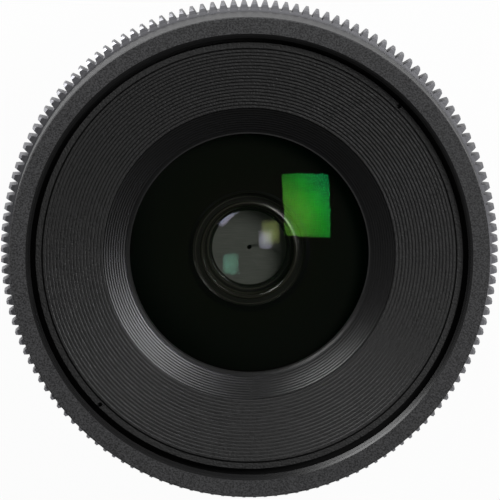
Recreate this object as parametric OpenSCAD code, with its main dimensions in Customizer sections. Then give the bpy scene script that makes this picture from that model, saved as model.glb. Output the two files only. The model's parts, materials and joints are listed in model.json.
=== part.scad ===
// Cinema prime lens with a geared focus ring, a geared iris ring and an eleven-blade iris.
// Lengths are in millimetres and angles in degrees. +Z is the optical axis, towards the subject.
// The origin is the centre of the mount's flange plane, on which the camera body seats.

/* [Overall] */
// Flange plane to the front rim
flange_to_front = 93.5; // [88:0.5:102]
// Outside diameter of the front ring, which a matte box clamps
front_d = 114; // [104:0.5:124]
// Length of the front ring
front_len = 23.5; // [22:0.1:25.5]

/* [Front recess] */
// Width of the front rim, from its outside to the root of the filter thread
rim_w = 4.5; // [4:0.1:5]
// Front rim to the flat ring that has the spanner holes
step_depth = 5.4; // [4.9:0.1:5.9]
// Steps of the shallow outer baffle
outer_steps = 18; // [10:1:20]
// Ridges on the steeper inner cone
inner_ridges = 9; // [4:1:10]
// Radius of the front glass surface
front_radius = 62; // [56:1:68]

/* [Iris] */
// Turn of the iris ring between its stops
iris_turn = 38; // [34:1:40]
// Diameter of the fixed stop that the open blades clear
stop_d = 17.7; // [16:0.1:19.4]
// Opening that the blades leave at rest, stopped right down
rest_hole_d = 1.1; // [0.8:0.1:4]
// Thickness of one blade
blade_t = 0.12; // [0.08:0.01:0.14]

/* [Focus] */
// Turn of the focus ring between its stops
focus_turn = 300; // [270:5:330]
// Travel of the focus carrier over that turn
focus_travel = 4.5; // [3:0.1:5]
// Face width of the focus gear
focus_gear_w = 12; // [8:0.5:13]

/* [Mount] */
// Diameter of the locating spigot behind the flange
spigot_d = 54; // [49:0.5:59]
// Length of that spigot
spigot_len = 9.5; // [8.6:0.1:10.4]
// Reach of the four locking tabs beyond the spigot
tab_reach = 7; // [6.4:0.1:7.6]
// Thickness of the locking tabs
tab_t = 3.2; // [2.9:0.1:3.5]

/* [Fits] */
// Radial clearance of parts that move on each other
run_gap = 0.05; // [0.03:0.01:0.08]
// Radial clearance of parts that are fixed to each other
seat_gap = 0.03; // [0.02:0.01:0.05]

/* [Hidden] */
$fn = 96;
blade_count = 11;
gear_module = 0.8;
pressure_angle = 20;
edge = 0.25;
side_gap = 0.3;
end_gap = 0.1;
through = 1;
BLACK = [0.06, 0.06, 0.065];
MATTE = [0.03, 0.03, 0.032];
GREY = [0.16, 0.16, 0.165];
BLADE = [0.12, 0.12, 0.125];
STEEL = [0.7, 0.7, 0.7];
BRASS = [0.78, 0.6, 0.3];
GLASS = [0.35, 0.5, 0.45, 0.5];

// Spur gears, whose sizes follow from the module and the number of teeth
function pitch_r(teeth) = teeth * gear_module / 2;
function tip_r(teeth) = pitch_r(teeth) + gear_module;
function root_r(teeth) = pitch_r(teeth) - 1.25 * gear_module;
function teeth_for(radius) = round(2 * radius / gear_module);

// The fall of a spherical surface of the given radius, at r from its axis
function sag(radius, r) = radius - sqrt(radius ^ 2 - r ^ 2);

// Barrel radii, from the outside in
front_r = front_d / 2;
ring_wall = 8;
sleeve_wall = 2.8;
barrel_wall = 3.5;
tail_step = 2;
barrel_r = front_r - ring_wall;
sleeve_r = barrel_r + sleeve_wall;
index_r = sleeve_r + 1;
barrel_bore_r = barrel_r - barrel_wall;
tail_r = barrel_bore_r - tail_step;
tail_bore_r = tail_r - 3;
focus_teeth = teeth_for(front_r + 1.4);
iris_teeth = teeth_for(tail_r + 4.5);
scale_r = root_r(focus_teeth) - 0.9;
iris_neck_r = root_r(iris_teeth) - 0.8;
iris_scale_r = index_r - 1.4;

// Filter thread, baffle and front retainer
filter_r = front_r - rim_w;
lead_w = 0.5;
relief_w = 0.6;
baffle_r = filter_r - 1.7;
baffle_seat_r = baffle_r - 3.8;
ridge_out_r = baffle_r - 1.85;
groove_w = 0.41;
groove_depth = 0.6;
step_tread = 0.6;
step_nose = 0.2;
ridge_h = 0.1;
baffle_wall = 1.6;
spanner_hole_r = 0.55;
clear_r = front_r / 2 - 0.1;
element_r = clear_r + 1.6;
lip_r = clear_r + 0.95;
lip_land = 0.35;
lip_step = 0.46;
retainer_r = element_r + 4.5;
ridge_in_r = retainer_r + end_gap;

// Levels behind the front rim
front_z = flange_to_front;
step_z = front_z - step_depth;
relief_z = step_z + side_gap;
seat_z = step_z - 4.1;
cone_z = step_z - 5.6;
clamp_z = seat_z - 4;
barrel_front_z = clamp_z - 3;
ring_rear_z = front_z - front_len;
gear_front_z = ring_rear_z - 0.5;
gear_rear_z = gear_front_z - focus_gear_w;

// Levels of the index ring, the iris ring and the rear barrel
index_h = 4;
iris_ring_h = 18;
scale_h = 18.5;
index_top_z = gear_rear_z - scale_h;
index_z = index_top_z - index_h;
index_mid_z = index_z + index_h / 2;
iris_ring_z = index_z - iris_ring_h;
shim_t = 0.2;
rear_barrel_z = tab_t + shim_t;

// Front element, a meniscus with a deep rear hollow
vertex_z = step_z - 3;
element_rear_z = clamp_z - 7;
element_centre_t = 4;
function front_surface(r) = vertex_z - sag(front_radius, r);
lip_z = front_surface(clear_r) + 0.3;
press_gap = 0.05;

// Second element, convex on both sides, in the well behind the front element
stop_r = stop_d / 2;
second_r = stop_r + 3.65;
second_seat_r = second_r - 0.9;
second_clear_r = second_r - 1.8;
well_r = second_r + 1.4;
second_front_radius = 23;
second_rear_radius = 20;
second_edge = 1.3;
second_front_z = front_z - 22.5;
second_rear_z = second_front_z - sag(second_front_radius, second_r) - second_edge
    - sag(second_rear_radius, second_r);
function second_front(r) = second_front_z - sag(second_front_radius, r);
function second_rear(r) = second_rear_z + sag(second_rear_radius, r);
well_floor_z = second_front(second_r) + 0.2;
hollow_rim_r = well_r + 0.6;
hollow_depth = vertex_z - element_centre_t - element_rear_z;
hollow_radius = (hollow_rim_r ^ 2 + hollow_depth ^ 2) / (2 * hollow_depth);

// Iris unit: cell, stop plate, blades, actuator and housing, from the front to the rear
cell_r = barrel_bore_r - 5.2;
cell_wall = 3.8;
cell_rear_z = second_rear_z - 0.6;
plate_t = 1;
plate_rear_z = cell_rear_z - plate_t;
blade_gap = 0.1;
blade_pitch = blade_t + blade_gap;
blade_stack = blade_count * blade_pitch;
leaf_in_r = stop_r + 0.25;
leaf_w = 8.4;
leaf_out_r = leaf_in_r + leaf_w;
leaf_from = -5;
leaf_to = 105;
pivot_r = leaf_out_r + 4.5;
arm_len = 8;
arm_half_w = 1.2;
ear_r = 2;
pin_r = 0.5;
close_angle = 2 * asin((leaf_in_r - rest_hole_d / 2) / (2 * pivot_r));
actuator_t = 1.6;
actuator_r = cell_r - 3.3;
actuator_in_r = leaf_out_r + 0.5;
actuator_top_z = plate_rear_z - blade_stack - 2 * blade_gap;
actuator_z = actuator_top_z - actuator_t;
housing_floor_z = actuator_z - end_gap;
housing_floor_t = 1.2;
housing_rear_z = housing_floor_z - housing_floor_t;
housing_hole_r = stop_r + 4;
housing_screw_r = cell_r - 1.6;
housing_screw_from = 15;
small_screw_r = 0.8;

// Drive from the iris ring to the actuator
bar_angle = 90;
bar_radial = 3;
bar_w = 5;
bar_gap = 0.4;
bar_r = actuator_r - 2.5;
bar_reach = asin((bar_w / 2 + 2 * bar_gap) / bar_r);
drive_z = index_z - 4.5;
bar_rear_z = drive_z - 3;
drive_pin_r = 1.5;
drive_pin_tip_r = tail_r + 3;
iris_gear_z = iris_ring_z + 2;
iris_gear_w = 8;

// Focus carrier, behind the iris
key_angle = 30;
key_w = 6;
key_len = 8;
key_root_r = barrel_bore_r - 3;
key_tip_r = barrel_r - 0.1;
key_head_r = 1.4;
key_head_root_r = barrel_bore_r + 1.5;
carrier_front_z = housing_rear_z - focus_travel - 0.7;
carrier_flange_t = 5;
flange_rear_z = carrier_front_z - carrier_flange_t;
key_z = carrier_front_z - carrier_flange_t / 2;
spigot_r = spigot_d / 2;
spigot_bore_r = spigot_r - 2.5;
carrier_rear_z = 2 - spigot_len;
carrier_rear_r = spigot_bore_r - 1.5;
carrier_neck_z = carrier_rear_z + 23.5;

// Lenses of the carrier, from the front to the rear
doublet_r = 16;
doublet_radius = 34;
doublet_t = 8.6;
doublet_pocket = 12;
doublet_clear_r = doublet_r - 1.5;
doublet_z = carrier_front_z - 1.2;
doublet_rear_z = doublet_z - doublet_t;
rear_lens_r = carrier_rear_r - 3.5;
rear_clear_r = rear_lens_r - 1.3;
fourth_radius = 60;
fourth_edge = 0.9;
rear_radius = 80;
rear_edge = 1.3;
rear_z = carrier_rear_z + 2.3;
rear_front_z = rear_z + 2 * sag(rear_radius, rear_lens_r) + rear_edge;
fourth_z = rear_front_z + 5.2;
fourth_front_z = fourth_z + 2 * sag(fourth_radius, rear_lens_r) + fourth_edge;

// Focus stop
stop_pin_r = 0.6;
stop_pin_rise = 2;
stop_gap = 0.1;
stop_groove_r = barrel_r + 1.5;
stop_angle = 200;

// Mount
tab_r = spigot_r + tab_reach;
relief_r = spigot_r + 4.6;
tab_sweep = 48;
notch_w = 3;
notch_depth = 2;
boss_r = spigot_r + 0.45;
boss_h = 2.8;
mount_screw_r = spigot_r + 2.3;
mount_screw_core_r = 1;
mount_screw_head_r = 1.75;
mount_screw_len = 8.5;
head_h = 1;
rear_barrel_r = tab_r + 0.5;
rear_boss_h = 6;
baffle_plate_t = 0.8;
baffle_plate_r = spigot_bore_r + 1;
rear_opening_r = rear_lens_r - 2.5;

// Set screws
index_screw_r = 1;
focus_screw_r = 1.25;
focus_screw_z = gear_rear_z - 3.5;
focus_screw_root_r = sleeve_r - 0.9;
focus_screw_top_r = scale_r - 1.2;

function blade_name(k) = str("iris_blade_", k < 10 ? "0" : "", k);

// Which node to draw, or "all"

// A solid of revolution whose profile is a list of [radius, level]
module turned(profile) {
    rotate_extrude()
        polygon(profile);
}

module tube(r_in, r_out, z_from, z_to) {
    turned([[r_in, z_from], [r_out, z_from], [r_out, z_to], [r_in, z_to]]);
}

// Part of a tube, from one angle to another
module arc_tube(r_in, r_out, z_from, z_to, from, to) {
    rotate(from)
        rotate_extrude(angle = to - from)
            polygon([[r_in, z_from], [r_out, z_from], [r_out, z_to], [r_in, z_to]]);
}

module around(count, start = 0) {
    for (i = [0 : count - 1])
        rotate(start + i * 360 / count)
            children();
}

// A cylinder along a radius, from r_from to r_to, at one level
module radial_pin(r, r_from, r_to, z) {
    translate([r_from, 0, z])
        rotate([0, 90, 0])
            cylinder(r = r, h = r_to - r_from);
}

// The hexagon socket of a set screw
module radial_socket(r, r_from, z) {
    translate([r_from, 0, z])
        rotate([0, 90, 0])
            cylinder(r = r, h = 6, $fn = 6);
}

// A cylinder along the axis, off centre by r_at
module axial_pin(r, r_at, z_from, z_to) {
    translate([r_at, 0, z_from])
        cylinder(r = r, h = z_to - z_from);
}

// The valleys and crests of a ridged cone, from its outer edge to its inner edge
function ridges(count, r_from, z_from, r_to, z_to, h) = [
    for (i = [0 : 2 * count])
        let (t = i / (2 * count))
        [r_from + (r_to - r_from) * t, z_from + (z_to - z_from) * t - (i % 2 == 0 ? h : 0)]
];

// The profile of a stepped cone, from its outer edge to its inner edge. Of each step's run, tread is
// the share that lies level and nose the share that is bevelled along the cone. The rest is the riser.
function terraces(count, r_from, z_from, r_to, z_to, tread, nose) =
    let (run = (r_to - r_from) / count, fall = (z_to - z_from) / count)
    [
        for (i = [0 : count - 1])
            let (r = r_from + run * i, z = z_from + fall * i)
            each [[r, z], [r + run * tread, z], [r + run * (tread + nose), z + fall * nose]]
    ];

// Gear outline: the half angle of an involute tooth at radius r, and its two flanks
function polar(r, angle) = [r * cos(angle), r * sin(angle)];
function involute(angle) = tan(angle) * 180 / PI - angle;
function flank_angle(teeth, r) = acos(min(1, pitch_r(teeth) * cos(pressure_angle) / r));
function half_tooth(teeth, r) =
    90 / teeth + involute(pressure_angle) - involute(flank_angle(teeth, r));
function tooth(teeth, at) = [
    for (r = [root_r(teeth), pitch_r(teeth), tip_r(teeth)]) polar(r, at - half_tooth(teeth, r)),
    for (r = [tip_r(teeth), pitch_r(teeth), root_r(teeth)]) polar(r, at + half_tooth(teeth, r))
];
function gear_outline(teeth) = [
    for (i = [0 : teeth - 1]) each tooth(teeth, i * 360 / teeth)
];

// A ring with gear teeth that are bevelled at both ends
module gear_ring(teeth, bore, z_from, z_to) {
    bevel = 0.6;
    tip = tip_r(teeth) + 0.01;
    intersection() {
        translate([0, 0, z_from])
            linear_extrude(z_to - z_from)
                polygon(gear_outline(teeth));
        turned([
            [bore, z_from],
            [tip - bevel, z_from],
            [tip, z_from + bevel],
            [tip, z_to - bevel],
            [tip - bevel, z_to],
            [bore, z_to]
        ]);
    }
}

// A lens with two convex spherical faces
module lens(r, front_z, front_radius, rear_z, rear_radius) {
    $fn = 240;
    intersection() {
        translate([0, 0, rear_z])
            cylinder(r = r, h = front_z - rear_z);
        translate([0, 0, front_z - front_radius])
            sphere(r = front_radius);
        translate([0, 0, rear_z + rear_radius])
            sphere(r = rear_radius);
    }
}

// Mount and rear

module mount_ring() {
    lip = 0.5;
    color(STEEL)
        difference() {
            union() {
                tube(spigot_bore_r, relief_r, 0, tab_t);
                tube(spigot_bore_r, boss_r, tab_t / 2, tab_t + boss_h);
                turned([
                    [spigot_bore_r, -spigot_len],
                    [spigot_r - lip, -spigot_len],
                    [spigot_r, lip - spigot_len],
                    [spigot_r, tab_t / 2],
                    [spigot_bore_r, tab_t / 2]
                ]);
                around(4)
                    arc_tube(relief_r - 1, tab_r, 0, tab_t, -tab_sweep / 2, tab_sweep / 2);
            }
            around(4)
                translate([tab_r - notch_depth, -notch_w / 2, -through])
                    cube([2 * notch_depth, notch_w, tab_t + 2 * through]);
            around(4, 45) {
                axial_pin(mount_screw_core_r + seat_gap, mount_screw_r, -through, tab_t + through);
                translate([mount_screw_r, 0, -0.01])
                    cylinder(r1 = mount_screw_head_r + seat_gap, r2 = mount_screw_core_r, h = head_h);
            }
            tube(0, baffle_plate_r, -spigot_len - through, baffle_plate_t - spigot_len);
        }
}

module mount_shim() {
    color(BRASS)
        difference() {
            tube(boss_r + seat_gap, rear_barrel_r - 1.2, tab_t, rear_barrel_z);
            around(4, 45)
                axial_pin(mount_screw_core_r + side_gap, mount_screw_r, tab_t - through, tab_t + through);
        }
}

module mount_screws() {
    sunk = 0.1;
    socket_r = 0.6;
    color(STEEL)
        around(4, 45)
            difference() {
                union() {
                    translate([mount_screw_r, 0, sunk])
                        cylinder(r1 = mount_screw_head_r - sunk, r2 = mount_screw_core_r, h = head_h - 0.15);
                    axial_pin(mount_screw_core_r, mount_screw_r, head_h / 2, mount_screw_len);
                }
                translate([mount_screw_r, 0, 0])
                    cylinder(r = socket_r, h = 0.8 * head_h, $fn = 6);
            }
}

module rear_barrel() {
    flare_r = iris_neck_r + 0.2;
    flare_h = iris_ring_z - rear_barrel_z;
    color(BLACK)
        difference() {
            turned([
                [boss_r + seat_gap, rear_barrel_z],
                [rear_barrel_r - edge, rear_barrel_z],
                [rear_barrel_r, rear_barrel_z + edge],
                [rear_barrel_r, rear_barrel_z + 0.41 * flare_h],
                [flare_r, iris_ring_z - 1],
                [flare_r, iris_ring_z],
                [tail_bore_r - seat_gap, iris_ring_z],
                [tail_bore_r - seat_gap, iris_ring_z + rear_boss_h],
                [tail_bore_r - 3, iris_ring_z + rear_boss_h],
                [tail_bore_r - 3, iris_ring_z],
                [boss_r + seat_gap, rear_barrel_z + 0.52 * flare_h]
            ]);
            around(4, 45)
                axial_pin(
                    mount_screw_core_r + seat_gap, mount_screw_r,
                    rear_barrel_z - through, mount_screw_len + 0.5
                );
        }
}

module rear_baffle() {
    color(MATTE)
        turned([
            [rear_opening_r, -spigot_len],
            [baffle_plate_r - seat_gap, -spigot_len],
            [baffle_plate_r - seat_gap, baffle_plate_t - spigot_len],
            [rear_opening_r + 1, baffle_plate_t - spigot_len]
        ]);
}

// Fixed barrel

module main_barrel() {
    slot_z = key_z - key_len / 2 - side_gap;
    slot_len = key_len + focus_travel + 2 * side_gap;
    color(BLACK)
        difference() {
            turned([
                [tail_bore_r, iris_ring_z],
                [tail_r, iris_ring_z],
                [tail_r, index_top_z],
                [barrel_r, index_top_z],
                [barrel_r, barrel_front_z],
                [barrel_bore_r, barrel_front_z],
                [barrel_bore_r, index_top_z + 2],
                [tail_bore_r, index_top_z]
            ]);
            around(3, key_angle)
                translate([key_root_r + 1, -key_w / 2 - run_gap, slot_z])
                    cube([barrel_r, key_w + 2 * run_gap, slot_len]);
            drive_slot();
        }
}

// The slot in which the drive pin swings with the iris ring, with a wider hole drilled at each end
module drive_slot() {
    r = drive_pin_r + 0.2;
    for (a = [bar_angle - iris_turn, bar_angle])
        rotate(a)
            radial_pin(r + 0.2, tail_bore_r - 2, tail_r + 2, drive_z);
    arc_tube(
        tail_bore_r - through, tail_r + through, drive_z - r, drive_z + r,
        bar_angle - iris_turn, bar_angle
    );
}

module index_ring() {
    bevel = 0.7;
    color(BLACK)
        difference() {
            turned([
                [tail_r + seat_gap, index_z],
                [index_r - bevel - edge, index_z],
                [index_r - bevel, index_z + edge],
                [index_r, index_top_z - edge],
                [index_r - edge, index_top_z],
                [tail_r + seat_gap, index_top_z]
            ]);
            around(3, 60)
                radial_pin(index_screw_r + seat_gap, tail_r - through, index_r + through, index_mid_z);
            rotate(stop_angle)
                axial_pin(stop_pin_r + seat_gap, stop_groove_r, index_z + 1, index_top_z + through);
        }
}

module index_screws() {
    socket_r = 0.5;
    color(STEEL)
        around(3, 60)
            difference() {
                radial_pin(index_screw_r, tail_r + seat_gap, index_r - 1.1, index_mid_z);
                radial_socket(socket_r, index_r - 2.2, index_mid_z);
            }
}

module focus_stop_pin() {
    color(STEEL)
        rotate(stop_angle)
            axial_pin(stop_pin_r, stop_groove_r, index_z + 1, index_top_z + stop_pin_rise);
}

// Front

module front_ring() {
    color(BLACK)
        turned([
            [barrel_r + seat_gap, ring_rear_z],
            [front_r - edge, ring_rear_z],
            [front_r, ring_rear_z + edge],
            [front_r, front_z - edge],
            [front_r - edge, front_z],
            [filter_r + lead_w, front_z],
            [filter_r, front_z - lead_w],
            [filter_r, relief_z],
            [filter_r + relief_w, relief_z - relief_w],
            [filter_r + relief_w, seat_z],
            [baffle_seat_r, seat_z],
            [baffle_seat_r, clamp_z],
            [barrel_r + seat_gap, clamp_z]
        ]);
}

module baffle_ring() {
    groove_r = ridge_out_r + groove_w;
    spigot_z = seat_z - 1.6;
    color(MATTE)
        difference() {
            turned(concat(
                [
                    [baffle_seat_r - seat_gap, spigot_z],
                    [baffle_seat_r - seat_gap, seat_z],
                    [baffle_r, seat_z],
                    [baffle_r, step_z - 0.15],
                    [baffle_r - 0.15, step_z],
                    [groove_r, step_z],
                    [groove_r, step_z - groove_depth]
                ],
                terraces(outer_steps, ridge_out_r, step_z - 0.2, ridge_in_r, cone_z, step_tread, step_nose),
                [
                    [ridge_in_r, cone_z],
                    [ridge_in_r, cone_z - baffle_wall],
                    [baffle_seat_r - 2, spigot_z]
                ]
            ));
            around(2, 45)
                axial_pin(spanner_hole_r, (baffle_r + groove_r) / 2, step_z - 2, step_z + through);
        }
}

module front_retainer() {
    inner_r = element_r + side_gap;
    foot_z = element_rear_z + 3.4;
    color(MATTE)
        turned(concat(
            [[retainer_r, foot_z]],
            ridges(inner_ridges, retainer_r, cone_z, lip_r, lip_z + lip_step, ridge_h),
            [
                [clear_r + lip_land, lip_z],
                [clear_r, lip_z],
                [clear_r, front_surface(clear_r) + press_gap],
                [inner_r, front_surface(inner_r) + press_gap],
                [inner_r, foot_z]
            ]
        ));
}

module front_cell() {
    ledge_z = element_rear_z + 3.2;
    web_z = element_rear_z - 3;
    second_seat_z = second_rear(second_seat_r) - 0.02;
    color(MATTE)
        difference() {
            turned([
                [second_seat_r, cell_rear_z],
                [well_r + 2, cell_rear_z],
                [well_r + 2, web_z],
                [cell_r - cell_wall, web_z],
                [cell_r - cell_wall, cell_rear_z],
                [cell_r, cell_rear_z],
                [cell_r, barrel_front_z],
                [barrel_r - 0.1, barrel_front_z],
                [barrel_r - 0.1, clamp_z],
                [retainer_r + seat_gap, clamp_z],
                [retainer_r + seat_gap, ledge_z],
                [element_r + seat_gap, ledge_z],
                [element_r + seat_gap, element_rear_z],
                [well_r + 0.3, element_rear_z],
                [well_r, element_rear_z - 0.3],
                [well_r, well_floor_z],
                [second_r + seat_gap, well_floor_z],
                [second_r + seat_gap, second_seat_z],
                [second_seat_r, second_seat_z]
            ]);
            around(4, housing_screw_from)
                axial_pin(
                    small_screw_r + seat_gap, housing_screw_r,
                    cell_rear_z - through, cell_rear_z + 4
                );
        }
}

module front_element() {
    color(GLASS)
        difference() {
            intersection() {
                translate([0, 0, element_rear_z])
                    cylinder(r = element_r, h = vertex_z - element_rear_z);
                translate([0, 0, vertex_z - front_radius])
                    sphere(r = front_radius);
            }
            translate([0, 0, element_rear_z + hollow_depth - hollow_radius])
                sphere(r = hollow_radius);
        }
}

module second_element() {
    color(GLASS)
        lens(second_r, second_front_z, second_front_radius, second_rear_z, second_rear_radius);
}

module second_retainer() {
    foot_r = second_r - 0.1;
    top_z = well_floor_z + 2;
    rim_r = well_r - seat_gap - 0.5;
    dish_in_r = second_clear_r + 1.05;
    dish = 0.5;
    bevel = 0.35;
    color(MATTE)
        turned([
            [second_clear_r, second_front(second_clear_r) + press_gap],
            [foot_r, second_front(foot_r) + press_gap],
            [foot_r, well_floor_z + press_gap],
            [well_r - seat_gap, well_floor_z + press_gap],
            [well_r - seat_gap, top_z - 0.15],
            [rim_r, top_z],
            [rim_r - 0.17, top_z - dish],
            [dish_in_r, top_z - dish],
            [second_clear_r + bevel, top_z - dish / 2],
            [second_clear_r, top_z - dish]
        ]);
}

// Iris

module iris_stop_plate() {
    bevel = 0.5;
    color(MATTE)
        difference() {
            turned([
                [stop_r, plate_rear_z],
                [cell_r, plate_rear_z],
                [cell_r, cell_rear_z],
                [stop_r + bevel, cell_rear_z],
                [stop_r, cell_rear_z - bevel]
            ]);
            around(blade_count)
                axial_pin(pin_r + run_gap, pivot_r, plate_rear_z - through, cell_rear_z + through);
            around(4, housing_screw_from)
                axial_pin(
                    small_screw_r + seat_gap, housing_screw_r,
                    plate_rear_z - through, cell_rear_z + through
                );
        }
}

// The window through which the drive bar swings
module bar_window(z_from, z_to) {
    arc_tube(
        bar_r - bar_radial / 2 - bar_gap, bar_r + bar_radial / 2 + bar_gap, z_from, z_to,
        bar_angle - iris_turn - bar_reach, bar_angle + bar_reach
    );
}

module iris_housing() {
    color(MATTE)
        difference() {
            turned([
                [housing_hole_r, housing_rear_z],
                [cell_r, housing_rear_z],
                [cell_r, plate_rear_z],
                [actuator_r + run_gap, plate_rear_z],
                [actuator_r + run_gap, housing_floor_z],
                [housing_hole_r, housing_floor_z]
            ]);
            bar_window(housing_rear_z - through, housing_floor_z + through);
            around(4, housing_screw_from) {
                axial_pin(
                    small_screw_r + seat_gap, housing_screw_r,
                    housing_rear_z - through, plate_rear_z + through
                );
                axial_pin(1.3, housing_screw_r, housing_rear_z - through, housing_rear_z + 1);
            }
        }
}

module iris_housing_screws() {
    head_r = 1.2;
    socket_r = 0.55;
    color(STEEL)
        around(4, housing_screw_from)
            difference() {
                union() {
                    axial_pin(head_r, housing_screw_r, housing_rear_z + 0.05, housing_rear_z + 1);
                    axial_pin(small_screw_r, housing_screw_r, housing_rear_z + 0.5, cell_rear_z + 3.6);
                }
                translate([housing_screw_r, 0, housing_rear_z])
                    cylinder(r = socket_r, h = 0.6, $fn = 6);
            }
}

// Where a blade's drive pin is, for the blade on the +X axis, turned by angle from open
function drive_pin_at(angle) = [pivot_r + arm_len * sin(angle), -arm_len * cos(angle)];
function turn(p, angle) = [
    p[0] * cos(angle) - p[1] * sin(angle),
    p[0] * sin(angle) + p[1] * cos(angle)
];
// The same pin seen from the actuator, which turns by -iris_turn while the blade opens
function slot_at(t) = turn(drive_pin_at(close_angle * (1 - t)), iris_turn * t);
slot_steps = 16;
slot_half_w = pin_r + run_gap;
function slot_side(t) =
    let (d = slot_at(t + 0.001) - slot_at(t - 0.001))
    [-d[1], d[0]] / norm(d) * slot_half_w;
slot_outline = [
    for (i = [0 : slot_steps]) slot_at(i / slot_steps) + slot_side(i / slot_steps),
    for (i = [slot_steps : -1 : 0]) slot_at(i / slot_steps) - slot_side(i / slot_steps)
];

module actuator_slot() {
    h = actuator_t + 2 * through;
    translate([0, 0, actuator_z - through]) {
        linear_extrude(h)
            polygon(slot_outline);
        for (t = [0, 1])
            translate(slot_at(t))
                cylinder(r = slot_half_w + 0.01, h = h);
    }
}

module bar_section(gap, z_from, z_to) {
    rotate(bar_angle)
        translate([bar_r - bar_radial / 2 - gap, -bar_w / 2 - gap, z_from])
            cube([bar_radial + 2 * gap, bar_w + 2 * gap, z_to - z_from]);
}

module iris_actuator() {
    color(BRASS)
        difference() {
            tube(actuator_in_r, actuator_r, actuator_z, actuator_top_z);
            around(blade_count)
                actuator_slot();
            bar_section(seat_gap, actuator_z - through, actuator_top_z + through);
        }
}

module iris_drive_bar() {
    color(STEEL)
        difference() {
            bar_section(0, bar_rear_z, actuator_top_z - end_gap);
            rotate(bar_angle)
                radial_pin(drive_pin_r + seat_gap, bar_r - bar_radial, bar_r + bar_radial, drive_z);
        }
}

module iris_drive_pin() {
    color(STEEL)
        rotate(bar_angle)
            radial_pin(drive_pin_r, bar_r - bar_radial / 2, drive_pin_tip_r, drive_z);
}

module iris_ring() {
    bore_r = tail_r + run_gap;
    gear_top_z = iris_gear_z + iris_gear_w;
    top_z = index_z - side_gap;
    color(BLACK)
        difference() {
            union() {
                gear_ring(iris_teeth, bore_r, iris_gear_z, gear_top_z);
                tube(bore_r, iris_neck_r, iris_ring_z + side_gap, iris_gear_z + 1);
                turned([
                    [bore_r, gear_top_z - 1],
                    [iris_neck_r, gear_top_z - 1],
                    [iris_neck_r, gear_top_z + 0.8],
                    [iris_neck_r + 2, gear_top_z + 1.2],
                    [iris_scale_r, top_z - edge],
                    [iris_scale_r - edge, top_z],
                    [bore_r, top_z]
                ]);
            }
            rotate(bar_angle)
                radial_pin(drive_pin_r + seat_gap, tail_r - 1, drive_pin_tip_r + end_gap, drive_z);
        }
}

// A blade's outline when open: leaf, rounded tip, neck, pivot ear and drive arm, in that order
function arc_points(centre, r, from, to, steps) = [
    for (i = [0 : steps]) centre + polar(r, from + (to - from) * i / steps)
];
tip_centre = polar(leaf_in_r + leaf_w / 2, leaf_to);
blade_outline = concat(
    arc_points([0, 0], leaf_in_r, leaf_from, leaf_to - 2, 36),
    arc_points(tip_centre, leaf_w / 2, leaf_to + 170, leaf_to + 10, 10),
    arc_points([0, 0], leaf_out_r, leaf_to - 2, 6, 33),
    arc_points([pivot_r, 0], ear_r, 130, -50, 12),
    arc_points([pivot_r, -arm_len], arm_half_w + 0.2, 30, -210, 14),
    [[pivot_r - arm_half_w, -ear_r - 0.2], polar(leaf_out_r, leaf_from)]
);

module iris_blade(k) {
    z = plate_rear_z - blade_gap - blade_t - (k - 1) * blade_pitch;
    mid_z = z + blade_t / 2;
    color(BLADE)
        rotate((k - 1) * 360 / blade_count)
            translate([pivot_r, 0, 0])
                rotate(close_angle)
                    translate([-pivot_r, 0, 0]) {
                        translate([0, 0, z])
                            linear_extrude(blade_t)
                                polygon(blade_outline);
                        axial_pin(pin_r, pivot_r, mid_z, cell_rear_z - end_gap);
                        translate([0, -arm_len, 0])
                            axial_pin(pin_r, pivot_r, actuator_z + 0.2, mid_z);
                    }
}

// Focus ring

module focus_sleeve() {
    groove_half = asin((stop_pin_r + stop_gap) / stop_groove_r);
    lip_r = sleeve_r + 1.5;
    rear_z = index_top_z + end_gap;
    color(BLACK)
        difference() {
            turned([
                [barrel_r + run_gap, rear_z],
                [sleeve_r, rear_z],
                [sleeve_r, gear_front_z],
                [lip_r, gear_front_z],
                [lip_r, ring_rear_z - end_gap],
                [barrel_r + run_gap, ring_rear_z - end_gap]
            ]);
            arc_tube(
                stop_groove_r - stop_pin_r - stop_gap, stop_groove_r + stop_pin_r + stop_gap,
                rear_z - through, index_top_z + stop_pin_rise + 2 * stop_gap,
                stop_angle - focus_turn - groove_half, stop_angle + groove_half
            );
            around(3, 20)
                radial_pin(
                    focus_screw_r + seat_gap, focus_screw_root_r - end_gap, sleeve_r + through,
                    focus_screw_z
                );
        }
}

module focus_gear() {
    color(GREY)
        gear_ring(focus_teeth, sleeve_r + seat_gap, gear_rear_z, gear_front_z);
}

module focus_scale_ring() {
    rear_z = index_top_z + side_gap;
    bevel = 0.9;
    color(BLACK)
        difference() {
            turned([
                [sleeve_r + seat_gap, rear_z],
                [index_r + side_gap, rear_z],
                [index_r + 2 * side_gap, rear_z + edge],
                [scale_r, gear_rear_z - bevel - edge],
                [scale_r, gear_rear_z - bevel],
                [scale_r - bevel, gear_rear_z],
                [sleeve_r + seat_gap, gear_rear_z]
            ]);
            around(3, 20)
                radial_pin(focus_screw_r + seat_gap, sleeve_r - through, scale_r + through, focus_screw_z);
        }
}

module focus_set_screws() {
    socket_r = 0.65;
    color(STEEL)
        around(3, 20)
            difference() {
                radial_pin(focus_screw_r, focus_screw_root_r, focus_screw_top_r, focus_screw_z);
                radial_socket(socket_r, focus_screw_top_r - 1.5, focus_screw_z);
            }
}

// Focus carrier

module key_block(gap) {
    translate([key_root_r - gap, -key_w / 2 - gap, key_z - key_len / 2 - gap])
        cube([key_tip_r - key_root_r + gap, key_w + 2 * gap, key_len + 2 * gap]);
}

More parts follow.
